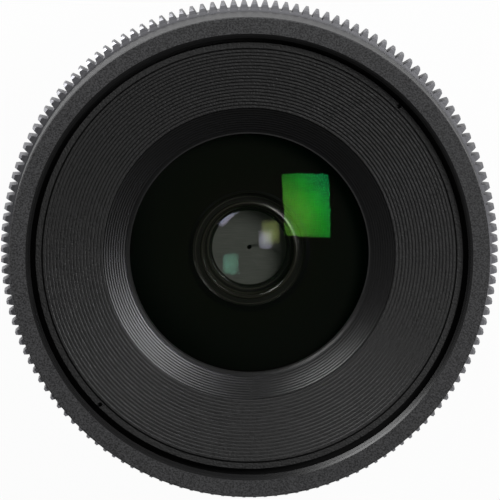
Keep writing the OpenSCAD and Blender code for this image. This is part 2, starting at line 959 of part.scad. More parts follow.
module focus_carrier() {
    tube_r = doublet_r + 4;
    rear_pocket_z = fourth_front_z + 0.5;
    color(MATTE)
        difference() {
            turned([
                [rear_lens_r + seat_gap, carrier_rear_z],
                [carrier_rear_r, carrier_rear_z],
                [carrier_rear_r, carrier_neck_z],
                [tube_r, carrier_neck_z + 8],
                [tube_r, flange_rear_z],
                [barrel_bore_r - run_gap, flange_rear_z],
                [barrel_bore_r - run_gap, carrier_front_z],
                [doublet_r + seat_gap, carrier_front_z],
                [doublet_r + seat_gap, carrier_front_z - doublet_pocket],
                [doublet_r - 1, carrier_front_z - doublet_pocket],
                [rear_lens_r - 2, rear_pocket_z],
                [rear_lens_r + seat_gap, rear_pocket_z]
            ]);
            bar_window(flange_rear_z - through, carrier_front_z + through);
            around(3, key_angle) {
                key_block(seat_gap);
                radial_pin(small_screw_r + seat_gap, key_root_r - 4.5, barrel_bore_r, key_z);
            }
        }
}

module guide_keys() {
    color(BRASS)
        around(3, key_angle)
            difference() {
                key_block(0);
                radial_pin(small_screw_r + seat_gap, key_root_r - through, key_tip_r + through, key_z);
                radial_pin(key_head_r + seat_gap, key_head_root_r - end_gap, key_tip_r + through, key_z);
            }
}

module key_screws() {
    head_h = 1.2;
    socket_r = 0.6;
    color(STEEL)
        around(3, key_angle)
            difference() {
                union() {
                    radial_pin(small_screw_r, key_root_r - 4.3, key_head_root_r + 0.5, key_z);
                    radial_pin(key_head_r, key_head_root_r, key_head_root_r + head_h, key_z);
                }
                radial_socket(socket_r, key_head_root_r + 0.4, key_z);
            }
}

module doublet_front() {
    color(GLASS)
        lens(doublet_r, doublet_z, doublet_radius, doublet_rear_z, doublet_radius);
}

module doublet_rear() {
    cement = 0.02;
    floor_z = carrier_front_z - doublet_pocket;
    edge_z = doublet_rear_z + sag(doublet_radius, doublet_r);
    color(GLASS)
        difference() {
            translate([0, 0, floor_z])
                cylinder(r = doublet_r, h = edge_z - floor_z);
            translate([0, 0, doublet_rear_z + doublet_radius])
                sphere(r = doublet_radius + cement);
        }
}

module doublet_retainer() {
    rear_z = doublet_z - sag(doublet_radius, doublet_clear_r) + press_gap;
    bevel = 0.5;
    color(MATTE)
        turned([
            [doublet_clear_r, rear_z],
            [doublet_r, rear_z],
            [doublet_r, carrier_front_z],
            [doublet_clear_r + bevel, carrier_front_z],
            [doublet_clear_r, carrier_front_z - bevel]
        ]);
}

module fourth_element() {
    color(GLASS)
        lens(rear_lens_r, fourth_front_z, fourth_radius, fourth_z, fourth_radius);
}

module rear_spacer() {
    color(MATTE)
        tube(
            rear_clear_r, rear_lens_r,
            rear_front_z - sag(rear_radius, rear_clear_r) + press_gap,
            fourth_z + sag(fourth_radius, rear_clear_r) - press_gap
        );
}

module rear_element() {
    color(GLASS)
        lens(rear_lens_r, rear_front_z, rear_radius, rear_z, rear_radius);
}

module rear_retainer() {
    front_z = rear_z + sag(rear_radius, rear_clear_r) - press_gap;
    bevel = 0.4;
    color(MATTE)
        turned([
            [rear_clear_r, front_z],
            [rear_lens_r, front_z],
            [rear_lens_r, carrier_rear_z + side_gap],
            [rear_clear_r + bevel, carrier_rear_z + side_gap],
            [rear_clear_r, carrier_rear_z + side_gap + bevel]
        ]);
}

mount_ring();
mount_shim();
mount_screws();
rear_barrel();
rear_baffle();
main_barrel();
index_ring();
index_screws();
focus_stop_pin();
front_ring();
baffle_ring();
front_retainer();
front_cell();
front_element();
second_element();
second_retainer();
iris_stop_plate();
iris_housing();
iris_housing_screws();
focus_sleeve();
focus_gear();
focus_scale_ring();
focus_set_screws();
focus_carrier();
guide_keys();
key_screws();
doublet_front();
doublet_rear();
doublet_retainer();
fourth_element();
rear_spacer();
rear_element();
rear_retainer();
iris_ring();
iris_drive_pin();
iris_drive_bar();
iris_actuator();
for (k = [1 : blade_count])
    iris_blade(k);
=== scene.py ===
import json
import math

import bmesh
import bpy
from mathutils import Matrix, Vector


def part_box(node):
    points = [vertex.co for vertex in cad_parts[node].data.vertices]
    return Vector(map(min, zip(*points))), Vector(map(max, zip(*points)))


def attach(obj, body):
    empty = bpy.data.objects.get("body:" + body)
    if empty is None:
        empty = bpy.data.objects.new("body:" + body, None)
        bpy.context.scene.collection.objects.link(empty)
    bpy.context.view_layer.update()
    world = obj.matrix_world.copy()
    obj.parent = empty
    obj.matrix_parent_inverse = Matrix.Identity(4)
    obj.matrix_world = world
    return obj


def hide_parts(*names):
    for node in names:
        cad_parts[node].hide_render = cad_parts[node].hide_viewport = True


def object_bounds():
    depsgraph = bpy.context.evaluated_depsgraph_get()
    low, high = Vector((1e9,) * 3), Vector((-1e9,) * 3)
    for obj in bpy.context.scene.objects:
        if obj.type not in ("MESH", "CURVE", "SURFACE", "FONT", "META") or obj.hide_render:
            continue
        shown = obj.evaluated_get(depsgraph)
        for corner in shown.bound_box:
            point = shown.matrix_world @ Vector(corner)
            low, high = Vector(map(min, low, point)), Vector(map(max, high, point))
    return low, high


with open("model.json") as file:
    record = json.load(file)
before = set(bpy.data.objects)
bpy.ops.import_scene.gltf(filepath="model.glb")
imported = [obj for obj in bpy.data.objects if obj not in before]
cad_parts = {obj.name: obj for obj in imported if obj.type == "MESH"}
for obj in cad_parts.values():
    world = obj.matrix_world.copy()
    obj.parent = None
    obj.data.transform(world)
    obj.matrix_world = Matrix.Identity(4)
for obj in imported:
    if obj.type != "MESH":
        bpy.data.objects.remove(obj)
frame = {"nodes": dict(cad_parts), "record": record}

bl_info = {
    "name": "Cinema prime lens",
    "version": (1, 0, 0),
    "blender": (4, 5, 0),
    "location": "View3D > Sidebar > Lens",
    "description": "Dresses the packed cinema prime lens with glass, thread, scales, finishes and a stage",
    "category": "Object",
}

MM = 0.001
CAD_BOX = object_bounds()
NODES = frame["nodes"]
SLOT_OF = {row["node"]: row["material_slot"] for row in frame["record"]["subparts"]}

# Points round a turned piece, and along the profile of a polished face
TURN_STEPS = 240
DOME_STEPS = 64
# Edges sharper than this stay crisp
SHARP_EDGE = math.radians(32)
# Ways in which a spherical face falls from its middle to its rim
TO_REAR = -1
TO_FRONT = 1
# A radius that no point lies inside
NO_CUT = -1 * MM
# The front ring is cut inside this radius after it is blasted
RIM_CUT = 53 * MM


def linear(hex_colour):
    """Turn an sRGB hex colour into linear red, green and blue."""
    values = [int(hex_colour[i:i + 2], 16) / 255 for i in (1, 3, 5)]
    return [v / 12.92 if v <= 0.04045 else ((v + 0.055) / 1.055) ** 2.4 for v in values]


def colour(name, description, hex_colour):
    """Describe a colour that a user may change."""
    return bpy.props.FloatVectorProperty(
        name=name, description=description, subtype="COLOR", size=3, min=0.0, max=1.0,
        default=linear(hex_colour),
    )


def length(name, description, millimetres):
    """Describe a length that a user may change."""
    return bpy.props.FloatProperty(
        name=name, description=description, unit="LENGTH", precision=5, default=millimetres * MM,
    )


class LensGlassSizes(bpy.types.PropertyGroup):
    """Curves of the six polished elements."""

    front_radius: length("Front curve", "Radius of the front element's outer face", 62.0)
    hollow_depth: length("Hollow depth", "Depth of the hollow in the front element's back", 8.1)
    hollow_rim: length("Hollow rim", "Radius of the rim of that hollow", 14.5)
    lacquer_film: length("Lacquer", "Thickness of the black lacquer on the front element's back", 0.03)
    second_front_radius: length("Second, front curve", "Radius of the second element's front", 23.0)
    second_rear_radius: length("Second, rear curve", "Radius of the second element's back", 20.0)
    doublet_radius: length("Doublet curve", "Radius of the cemented pair's outer and cemented faces", 34.0)
    fourth_radius: length("Fourth curve", "Radius of the fourth element's two faces", 60.0)
    rear_radius: length("Rear curve", "Radius of the rear element's two faces", 80.0)


class LensMarkSizes(bpy.types.PropertyGroup):
    """Sizes of the filter thread and of the engraved scales."""

    thread_pitch: length("Thread pitch", "Distance from one turn of the filter thread to the next", 1.0)
    thread_depth: length("Thread depth", "Height of the filter thread", 0.55)
    focus_numeral: length("Focus numerals", "Height of the numerals on the focus scale", 2.7)
    iris_numeral: length("Iris numerals", "Height of the numerals on the iris scale", 1.7)
    line_width: length("Line width", "Width of the engraved lines", 0.32)
    nearest_focus: bpy.props.FloatProperty(
        name="Nearest focus", description="Subject distance at the end of the focus ring's turn",
        unit="LENGTH", default=0.25,
    )


class LensColours(bpy.types.PropertyGroup):
    """Colours of the finishes."""

    anodised: colour("Barrel", "Bead-blasted black anodised aluminium", "#343435")
    baffle: colour("Baffle", "Matte black anodised aluminium", "#101010")
    retainer: colour("Front retainer", "Hard black anodised aluminium", "#131313")
    cell_paint: colour("Cells", "Satin black paint of the cells behind the front glass", "#0b0a08")
    gear: colour("Gear", "Machined grey anodised aluminium", "#8a8a8e")
    blade: colour("Iris blades", "Blackened spring steel", "#4b4c49")
    stainless: colour("Mount", "Turned stainless steel", "#a09d98")
    brass: colour("Keys and shim", "Turned brass", "#dcbf7a")
    screws: colour("Screws", "Blackened steel", "#2b2b2d")
    lacquer: colour("Lens edges", "Black lacquer on the ground edges of the glass", "#0b0a08")
    paint: colour("Engraving", "White filler in the engraved marks", "#e9e7df")
    level_coat: colour("Front coating, level", "Tint of the front reflection near its middle", "#9aff58")
    front_coat: colour("Front coating", "Tint of that reflection halfway out", "#41ff50")
    steep_coat: colour("Front coating, steep", "Tint of that reflection near the rim", "#16ffa8")
    slant_coat: colour("Front coating, slanting", "Tint of that reflection from the side", "#7f9f94")
    hollow_coat: colour("Hollow coating", "Tint of the reflection from the front element's back", "#e4e0ff")
    second_coat: colour("Second coating", "Tint of the reflection from the second element", "#d2e08c")
    iris_coat: colour("Iris-side coating", "Tint of the reflection from that element's back", "#a8ffe8")
    rear_coat: colour("Rear coating", "Tint of the reflections from the rear glass", "#c9a0ff")


class LensStage(bpy.types.PropertyGroup):
    """Camera and lights."""

    camera_distance: bpy.props.FloatProperty(
        name="Camera distance", description="From the focus gear's front to the camera",
        unit="LENGTH", default=4.0,
    )
    camera_tilt: bpy.props.FloatProperty(
        name="Camera tilt", description="Angle of the camera above the lens's axis",
        unit="ROTATION", default=math.radians(4.1),
    )
    camera_lens: bpy.props.FloatProperty(
        name="Focal length", description="Focal length of the camera, in millimetres", default=1209.4,
    )
    key_level: bpy.props.FloatProperty(
        name="Key light", description="Brightness of the softbox at upper right", default=11.5,
    )
    side_level: bpy.props.FloatProperty(
        name="Side light", description="Brightness of the large panel at upper left", default=13.0,
    )
    room_level: bpy.props.FloatProperty(
        name="Room", description="Brightness of the room above the horizon", default=0.065,
    )
    floor: colour("Floor", "Pale paper on the table", "#dedede")


def add_node(tree, kind, settings=None, links=None):
    """Add a shader node, set its properties and inputs, and link sockets into it."""
    node = tree.nodes.new(kind)
    for key, value in (settings or {}).items():
        if key == "stops":
            ramp = node.color_ramp.elements
            ramp[0].position, ramp[0].color = value[0]
            ramp[1].position, ramp[1].color = value[-1]
            for position, stop in value[1:-1]:
                ramp.new(position).color = stop
        elif isinstance(key, str) and hasattr(node, key):
            setattr(node, key, value)
        else:
            node.inputs[key].default_value = value
    for key, socket in (links or {}).items():
        tree.links.new(socket, node.inputs[key])
    return node


def new_material(name):
    """Make an empty node material and return it with its tree."""
    material = bpy.data.materials.new(name)
    material.use_nodes = True
    material.node_tree.nodes.clear()
    return material, material.node_tree


def rgba(rgb, level=1.0):
    """Give a colour its fourth value, at a share of its brightness."""
    return (rgb[0] * level, rgb[1] * level, rgb[2] * level, 1.0)


def grey(level):
    """A neutral colour for a ramp."""
    return (level, level, level, 1.0)


def per_metre(millimetres):
    """Scale of a pattern whose grains are this wide."""
    return 1 / (millimetres * MM)


def distance_from_axis(tree):
    """Distance of the shaded point from the lens's axis."""
    place = add_node(tree, "ShaderNodeTexCoord").outputs["Object"]
    flat = add_node(tree, "ShaderNodeVectorMath", {"operation": "MULTIPLY", 1: (1.0, 1.0, 0.0)}, {0: place})
    return add_node(
        tree, "ShaderNodeVectorMath", {"operation": "LENGTH"}, {0: flat.outputs["Vector"]},
    ).outputs["Value"]


def lathe_rings_and_painted_glints(tree, spacing):
    """Noise drawn along the radius and the axis only, so many mm apart: the rings of a lathe tool on turned
    metal, and painted highlight rings on the cells' paint.
    """
    place = add_node(tree, "ShaderNodeTexCoord").outputs["Object"]
    parts = add_node(tree, "ShaderNodeSeparateXYZ", links={"Vector": place})
    across = add_node(
        tree, "ShaderNodeCombineXYZ", links={"X": distance_from_axis(tree), "Y": parts.outputs["Z"]},
    )
    return add_node(
        tree, "ShaderNodeTexNoise", {"Scale": per_metre(spacing), "Detail": 3.0, "Roughness": 0.6},
        {"Vector": across.outputs["Vector"]},
    ).outputs["Fac"]


def blasted_aluminium(name, colours, cut_radius):
    """Black anodised aluminium with blasting pits, left smooth from the lathe inside the cut radius."""
    material, tree = new_material(name)
    place = add_node(tree, "ShaderNodeTexCoord").outputs["Object"]
    # Blasting pits of 0.1 mm are drawn 0.4 mm wide, because finer ones vanish in the render
    pits = add_node(
        tree, "ShaderNodeTexNoise", {"Scale": per_metre(0.4), "Detail": 2.0}, {"Vector": place},
    )
    # The dye bath leaves faint clouds about 6 mm wide
    clouds = add_node(
        tree, "ShaderNodeTexNoise", {"Scale": per_metre(6), "Detail": 3.0}, {"Vector": place},
    )
    # The pits fade out over 0.05 mm at the cut
    blasted = add_node(
        tree, "ShaderNodeMapRange",
        {"From Min": cut_radius, "From Max": cut_radius + 0.05 * MM}, {"Value": distance_from_axis(tree)},
    )
    relief = add_node(
        tree, "ShaderNodeMath", {"operation": "MULTIPLY"},
        {0: pits.outputs["Fac"], 1: blasted.outputs["Result"]},
    )
    tone = add_node(
        tree, "ShaderNodeMath", {"operation": "MULTIPLY_ADD", 1: 0.12},
        {0: clouds.outputs["Fac"], 2: relief.outputs[0]},
    )
    shade = add_node(
        tree, "ShaderNodeValToRGB",
        {
            "stops": [
                (0.06, rgba(colours.anodised, 0.2)),
                (0.41, rgba(colours.anodised, 0.5)),
                (0.71, rgba(colours.anodised, 1.6)),
            ],
        },
        {"Fac": tone.outputs[0]},
    )
    rough = add_node(
        tree, "ShaderNodeMapRange",
        {"From Min": 0.0, "From Max": 0.7, "To Min": 0.3, "To Max": 0.66}, {"Value": relief.outputs[0]},
    )
    bump = add_node(
        tree, "ShaderNodeBump", {"Strength": 0.8, "Distance": 0.08 * MM}, {"Height": relief.outputs[0]},
    )
    surface = add_node(
        tree, "ShaderNodeBsdfPrincipled", {"IOR": 1.5, "Specular IOR Level": 0.25},
        {
            "Base Color": shade.outputs["Color"],
            "Roughness": rough.outputs["Result"],
            "Normal": bump.outputs["Normal"],
        },
    )
    add_node(tree, "ShaderNodeOutputMaterial", links={"Surface": surface.outputs["BSDF"]})
    return material


# Bead blasting leaves a fine even pitting, so the black is soft and slightly mottled, with no lines
def bead_blasted_black_anodised_aluminium(colours):
    """Finish of the barrel and the rings."""
    return blasted_aluminium("bead_blasted_black_anodised_aluminium", colours, NO_CUT)


# The chamfer and the thread are cut after the blasting, so they are darker and catch sharper light
def bead_blasted_black_anodised_rim(colours):
    """Finish of the front ring and its thread."""
    return blasted_aluminium("bead_blasted_black_anodised_rim", colours, RIM_CUT)


def etched_aluminium(name, shade, roughness, grain):
    """Black anodised aluminium with the grain of an etch, from 0 for none to 1 for the deepest."""
    material, tree = new_material(name)
    place = add_node(tree, "ShaderNodeTexCoord").outputs["Object"]
    # The matte etch has a grain of 0.05 mm, drawn 0.5 mm wide so that it shows
    etch = add_node(
        tree, "ShaderNodeTexNoise", {"Scale": per_metre(0.5), "Detail": 2.0}, {"Vector": place},
    )
    tint = add_node(
        tree, "ShaderNodeValToRGB",
        {"stops": [(0.3, rgba(shade, 0.7)), (0.75, rgba(shade, 1.4))]}, {"Fac": etch.outputs["Fac"]},
    )
    spread = 0.12 * grain
    rough = add_node(
        tree, "ShaderNodeMapRange",
        {"From Min": 0.3, "From Max": 0.7, "To Min": roughness - spread, "To Max": roughness + spread},
        {"Value": etch.outputs["Fac"]},
    )
    bump = add_node(
        tree, "ShaderNodeBump", {"Strength": 0.9 * grain, "Distance": 0.1 * MM},
        {"Height": etch.outputs["Fac"]},
    )
    surface = add_node(
        tree, "ShaderNodeBsdfPrincipled", {"IOR": 1.5},
        {
            "Base Color": tint.outputs["Color"],
            "Roughness": rough.outputs["Result"],
            "Normal": bump.outputs["Normal"],
        },
    )
    add_node(tree, "ShaderNodeOutputMaterial", links={"Surface": surface.outputs["BSDF"]})
    return material


# A baffle is turned, then anodised dead matte, so light sinks in and only the crests of its ridges show
def matte_black_anodised_baffle(colours):
    """Finish of the stepped baffle, the inner retainers and the carrier."""
    return etched_aluminium("matte_black_anodised_baffle", colours.baffle, roughness=0.49, grain=1.0)


# A hard-anodised layer is denser and smoother, so the ridges of the retainer glint
def hard_black_anodised_retainer(colours):
    """Finish of the front retainer."""
    return etched_aluminium("hard_black_anodised_retainer", colours.retainer, roughness=0.34, grain=0.2)


# Cells inside a lens get a satin black paint: flat faces stay almost black, sharp edges glint, and pale
# rings painted into the colour stand in for further glints
def satin_black_optical_paint(colours):
    """Finish of the cells and plates seen through the glass."""
    material, tree = new_material("satin_black_optical_paint")
    place = add_node(tree, "ShaderNodeTexCoord").outputs["Object"]
    # Spray leaves an orange peel about 0.6 mm wide
    peel = add_node(
        tree, "ShaderNodeTexNoise", {"Scale": per_metre(0.6), "Detail": 2.0}, {"Vector": place},
    )
    # Painted highlights: thin paler rings 0.6 mm apart, up to seven times the paint's colour, stand in for
    # the glints of the ring edges behind the glass
    shade = add_node(
        tree, "ShaderNodeValToRGB",
        {"stops": [(0.5, rgba(colours.cell_paint, 0.7)), (0.62, rgba(colours.cell_paint, 7.0))]},
        {"Fac": lathe_rings_and_painted_glints(tree, 0.6)},
    )
    rough = add_node(
        tree, "ShaderNodeMapRange",
        {"From Min": 0.3, "From Max": 0.7, "To Min": 0.2, "To Max": 0.27}, {"Value": peel.outputs["Fac"]},
    )
    # The paint pools round the edges, which rounds them by about 0.3 mm
    rounded = add_node(tree, "ShaderNodeBevel", {"Radius": 0.3 * MM})
    surface = add_node(
        tree, "ShaderNodeBsdfPrincipled", {"IOR": 1.5, "Specular IOR Level": 0.4},
        {
            "Base Color": shade.outputs["Color"],
            "Roughness": rough.outputs["Result"],
            "Normal": rounded.outputs["Normal"],
        },
    )
    add_node(tree, "ShaderNodeOutputMaterial", links={"Surface": surface.outputs["BSDF"]})
    return material


def turned_metal(name, shade, roughness, spacing, depth, metallic=1.0, edge=1.0, gloss=0.5):
    """A metal that shows the rings of its last cut, whose spacing and depth are in millimetres.

    Roughness is its range from ring to ring. Edge is what the metal returns at a grazing look.
    """
    material, tree = new_material(name)
    lines = lathe_rings_and_painted_glints(tree, spacing)
    tint = add_node(
        tree, "ShaderNodeValToRGB",
        {"stops": [(0.3, rgba(shade, 0.82)), (0.7, rgba(shade, 1.08))]}, {"Fac": lines},
    )
    rough = add_node(
        tree, "ShaderNodeMapRange",
        {"From Min": 0.3, "From Max": 0.7, "To Min": roughness[0], "To Max": roughness[1]},
        {"Value": lines},
    )
    bump = add_node(tree, "ShaderNodeBump", {"Strength": 0.4, "Distance": depth * MM}, {"Height": lines})
    surface = add_node(
        tree, "ShaderNodeBsdfPrincipled",
        {"Metallic": metallic, "Specular Tint": grey(edge), "Specular IOR Level": gloss},
        {
            "Base Color": tint.outputs["Color"],
            "Roughness": rough.outputs["Result"],
            "Normal": bump.outputs["Normal"],
        },
    )
    add_node(tree, "ShaderNodeOutputMaterial", links={"Surface": surface.outputs["BSDF"]})
    return material


# Cut teeth are anodised without blasting, so they gleam, and the dyed layer dims them at a grazing look
def machined_grey_anodised_aluminium(colours):
    """Finish of the focus gear."""
    return turned_metal(
        "machined_grey_anodised_aluminium", colours.gear, roughness=(0.32, 0.4), spacing=0.4, depth=0.003,
        metallic=0.6, edge=0.25, gloss=0.2,
    )


# A lathe leaves fine rings on stainless steel, which stretch its highlights into bands
def turned_stainless_steel(colours):
    """Finish of the camera mount."""
    return turned_metal(
        "turned_stainless_steel", colours.stainless, roughness=(0.22, 0.36), spacing=0.35, depth=0.004,
    )


# Turned brass is warm and a little brighter than the steel, with the same fine rings
def turned_brass(colours):
    """Finish of the shim, the guide keys and the iris actuator."""
    return turned_metal("turned_brass", colours.brass, roughness=(0.25, 0.4), spacing=0.35, depth=0.004)


# Screws are blackened in a hot salt bath, which leaves a dark oily gleam
def blackened_screw_steel(colours):
    """Finish of the screws, pins and drive bar."""
    return turned_metal(
        "blackened_screw_steel", colours.screws, roughness=(0.3, 0.45), spacing=0.3, depth=0.003,
    )


# Blades are stamped from rolled spring steel and blackened, so a faint rolling grain runs along the sheet
def blackened_spring_steel(colours):
    """Finish of the iris blades."""
    material, tree = new_material("blackened_spring_steel")
    place = add_node(tree, "ShaderNodeTexCoord").outputs["Object"]
    # Rolling lines of 0.05 mm are drawn 0.2 mm wide and 4 mm long, so that they show
    stretched = add_node(
        tree, "ShaderNodeMapping", {"Scale": (per_metre(4), per_metre(0.2), per_metre(4))},
        {"Vector": place},
    )
    grain = add_node(
        tree, "ShaderNodeTexNoise", {"Scale": 1.0, "Detail": 3.0}, {"Vector": stretched.outputs["Vector"]},
    )
    shade = add_node(
        tree, "ShaderNodeValToRGB",
        {"stops": [(0.3, rgba(colours.blade, 0.8)), (0.7, rgba(colours.blade, 1.15))]},
        {"Fac": grain.outputs["Fac"]},
    )
    rough = add_node(
        tree, "ShaderNodeMapRange",
        {"From Min": 0.3, "From Max": 0.7, "To Min": 0.38, "To Max": 0.5}, {"Value": grain.outputs["Fac"]},
    )
    surface = add_node(
        tree, "ShaderNodeBsdfPrincipled", {"Metallic": 0.35},
        {"Base Color": shade.outputs["Color"], "Roughness": rough.outputs["Result"]},
    )
    add_node(tree, "ShaderNodeOutputMaterial", links={"Surface": surface.outputs["BSDF"]})
    return material


# The ground edge of an element is brushed with black lacquer, which kills stray light but shines faintly
def black_edge_lacquer(colours):
    """Finish of the edges and unused backs of the glass."""
    material, tree = new_material("black_edge_lacquer")
    place = add_node(tree, "ShaderNodeTexCoord").outputs["Object"]
    # Brush marks are about 0.5 mm wide
    brush = add_node(
        tree, "ShaderNodeTexNoise", {"Scale": per_metre(0.5), "Detail": 2.0}, {"Vector": place},
    )
    shade = add_node(
        tree, "ShaderNodeValToRGB",
        {"stops": [(0.3, rgba(colours.lacquer, 0.7)), (0.7, rgba(colours.lacquer, 1.3))]},
        {"Fac": brush.outputs["Fac"]},
    )
    surface = add_node(
        tree, "ShaderNodeBsdfPrincipled", {"IOR": 1.5, "Specular IOR Level": 0.02, "Roughness": 0.6},
        {"Base Color": shade.outputs["Color"]},
    )
    add_node(tree, "ShaderNodeOutputMaterial", links={"Surface": surface.outputs["BSDF"]})
    return material


# A vacuum coating reflects only about 1% of the light, in a tint that shifts as the surface turns away
def coated_optical_glass(name, tints, blend):
    """Polished glass with a coating. The light goes straight through, so sizes behind it stay true.

    Tints pairs a turn away from the eye, from 0 to 1, with the colour of the reflection there. Blend sets
    the strength of the reflection: 0.2 returns 1.2% of the light head-on.
    """
    material, tree = new_material(name)
    facing = add_node(tree, "ShaderNodeLayerWeight", {"Blend": 0.5}).outputs["Facing"]
    sheen = add_node(tree, "ShaderNodeLayerWeight", {"Blend": blend}).outputs["Fresnel"]
    shift = add_node(
        tree, "ShaderNodeValToRGB",
        {"stops": [(turn, rgba(tint)) for turn, tint in tints]}, {"Fac": facing},
    )
    clear = add_node(tree, "ShaderNodeBsdfTransparent", {"Color": (0.985, 0.99, 0.98, 1.0)})
    mirror = add_node(
        tree, "ShaderNodeBsdfGlossy", {"Roughness": 0.0}, {"Color": shift.outputs["Color"]},
    )
    surface = add_node(
        tree, "ShaderNodeMixShader", links={0: sheen, 1: clear.outputs["BSDF"], 2: mirror.outputs["BSDF"]},
    )
    add_node(tree, "ShaderNodeOutputMaterial", links={"Surface": surface.outputs["Shader"]})
    return material


def one_tint(tint):
    """A coating whose tint doesn't shift."""
    return [(0.0, tint), (1.0, tint)]


# Marks are cut 0.1 mm deep and filled with enamel wiped level, so they are matte and faintly uneven
def white_engraving_enamel(colours):
    """Finish of the numerals and lines."""
    material, tree = new_material("white_engraving_enamel")
    place = add_node(tree, "ShaderNodeTexCoord").outputs["Object"]
    # Wiping leaves patches about 0.8 mm wide
    wiped = add_node(
        tree, "ShaderNodeTexNoise", {"Scale": per_metre(0.8), "Detail": 2.0}, {"Vector": place},
    )
    shade = add_node(
        tree, "ShaderNodeValToRGB",
        {"stops": [(0.25, rgba(colours.paint, 0.82)), (0.6, rgba(colours.paint))]},
        {"Fac": wiped.outputs["Fac"]},
    )
    surface = add_node(
        tree, "ShaderNodeBsdfPrincipled", {"IOR": 1.5, "Roughness": 0.5},
        {"Base Color": shade.outputs["Color"]},
    )
    add_node(tree, "ShaderNodeOutputMaterial", links={"Surface": surface.outputs["BSDF"]})
    return material


# Paper is matte and white, and an exposure set for a black lens shows it as an almost even white
def pale_paper(stage):
    """Finish of the floor."""
    material, tree = new_material("pale_paper")
    place = add_node(tree, "ShaderNodeTexCoord").outputs["Object"]
    # Paper fibres of 0.05 mm are drawn as 2 mm flecks, so that they show
    fibres = add_node(
        tree, "ShaderNodeTexNoise", {"Scale": per_metre(2), "Detail": 2.0}, {"Vector": place},
    )
    shade = add_node(
        tree, "ShaderNodeValToRGB",
        {"stops": [(0.3, rgba(stage.floor, 0.97)), (0.7, rgba(stage.floor))]},
        {"Fac": fibres.outputs["Fac"]},
    )
    paper = add_node(tree, "ShaderNodeBsdfDiffuse", links={"Color": shade.outputs["Color"]})
    path = add_node(tree, "ShaderNodeLightPath")
    mirrors = add_node(
        tree, "ShaderNodeMath", {"operation": "MAXIMUM"},
        {0: path.outputs["Is Glossy Ray"], 1: path.outputs["Is Transmission Ray"]},
    )
    seen = add_node(
        tree, "ShaderNodeMath", {"operation": "MAXIMUM"},
        {0: path.outputs["Is Camera Ray"], 1: mirrors.outputs[0]},
    )
    # The rest is lit paper, which keeps a faint shadow
    share = add_node(tree, "ShaderNodeMath", {"operation": "MULTIPLY", 1: 0.96}, {0: seen.outputs[0]})
    glow = add_node(tree, "ShaderNodeEmission", {"Color": grey(1.0), "Strength": 1.0})
    surface = add_node(
        tree, "ShaderNodeMixShader",
        links={0: share.outputs[0], 1: paper.outputs["BSDF"], 2: glow.outputs["Emission"]},
    )
    add_node(tree, "ShaderNodeOutputMaterial", links={"Surface": surface.outputs["Shader"]})
    return material


def dress(material, *nodes):
    """Give a finish to CAD nodes."""
    for node in nodes:
        for slot in NODES[node].material_slots:
            slot.material = material


def nodes_of(slot):
    """Names of the CAD nodes that the record puts in a material slot."""
    return [node for node, given in SLOT_OF.items() if given == slot]


def add_piece(name, verts, faces, materials, body, face_materials=None):
    """Make a mesh piece from points and faces, smooth except at its edges, that moves with a body."""
    mesh = bpy.data.meshes.new(name)
    mesh.from_pydata(verts, [], faces)
    for material in materials:
        mesh.materials.append(material)
    if face_materials:
        mesh.polygons.foreach_set("material_index", face_materials)
    work = bmesh.new()
    work.from_mesh(mesh)
    bmesh.ops.recalc_face_normals(work, faces=work.faces)
    work.to_mesh(mesh)
    work.free()
    mesh.polygons.foreach_set("use_smooth", [True] * len(mesh.polygons))
    mesh.set_sharp_from_angle(angle=SHARP_EDGE)
    piece = bpy.data.objects.new(name, mesh)
    bpy.context.scene.collection.objects.link(piece)
    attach(piece, body)
    return piece


def sag(radius, reach):
    """How far a sphere falls away at a distance from its axis."""
    return radius - math.sqrt(radius * radius - reach * reach)


def dome(radius, reach, top, way):
    """Profile of a spherical face from its middle to its rim, which falls to the rear or to the front."""
    distances = [reach * k / DOME_STEPS for k in range(DOME_STEPS + 1)]
    return [(r, top + way * sag(radius, r)) for r in distances]


def turned(profile, bands):
    """Points, faces and each face's band for a profile turned about the axis.

    Bands gives each stretch of the profile the place of its finish in the piece's list.
    """
    verts = []
    rings = []
    for r, z in profile:
        if r == 0.0:
            rings.append([len(verts)] * TURN_STEPS)
            verts.append((0.0, 0.0, z))
            continue
        rings.append(list(range(len(verts), len(verts) + TURN_STEPS)))
        for k in range(TURN_STEPS):
            angle = 2 * math.pi * k / TURN_STEPS
            verts.append((r * math.cos(angle), r * math.sin(angle), z))
    faces = []
    face_bands = []
    for low, high, band in zip(rings, rings[1:], bands):
        for k in range(TURN_STEPS):
            after = (k + 1) % TURN_STEPS
            corners = [low[k], low[after], high[after], high[k]]
            faces.append(tuple(dict.fromkeys(corners)))
            face_bands.append(band)
    return verts, faces, face_bands


class Cone:
    """The cone between two circles, on which marks are laid a hair above the metal."""

    LIFT = 0.03 * MM

    def __init__(self, rear, front):
        # Each is a radius and a height in millimetres
        self.rear = Vector(rear) * MM
        self.run = Vector(front) * MM - self.rear
        self.slant = self.run.length
        self.out = Vector((self.run.y, -self.run.x)).normalized() * self.LIFT

    def point(self, azimuth, across, along):
        """A point at an azimuth, moved across the cone and up its slant."""
        flat = self.rear + self.run * (along / self.slant) + self.out
        angle = azimuth + across / flat.x
        return (flat.x * math.cos(angle), flat.x * math.sin(angle), flat.y)


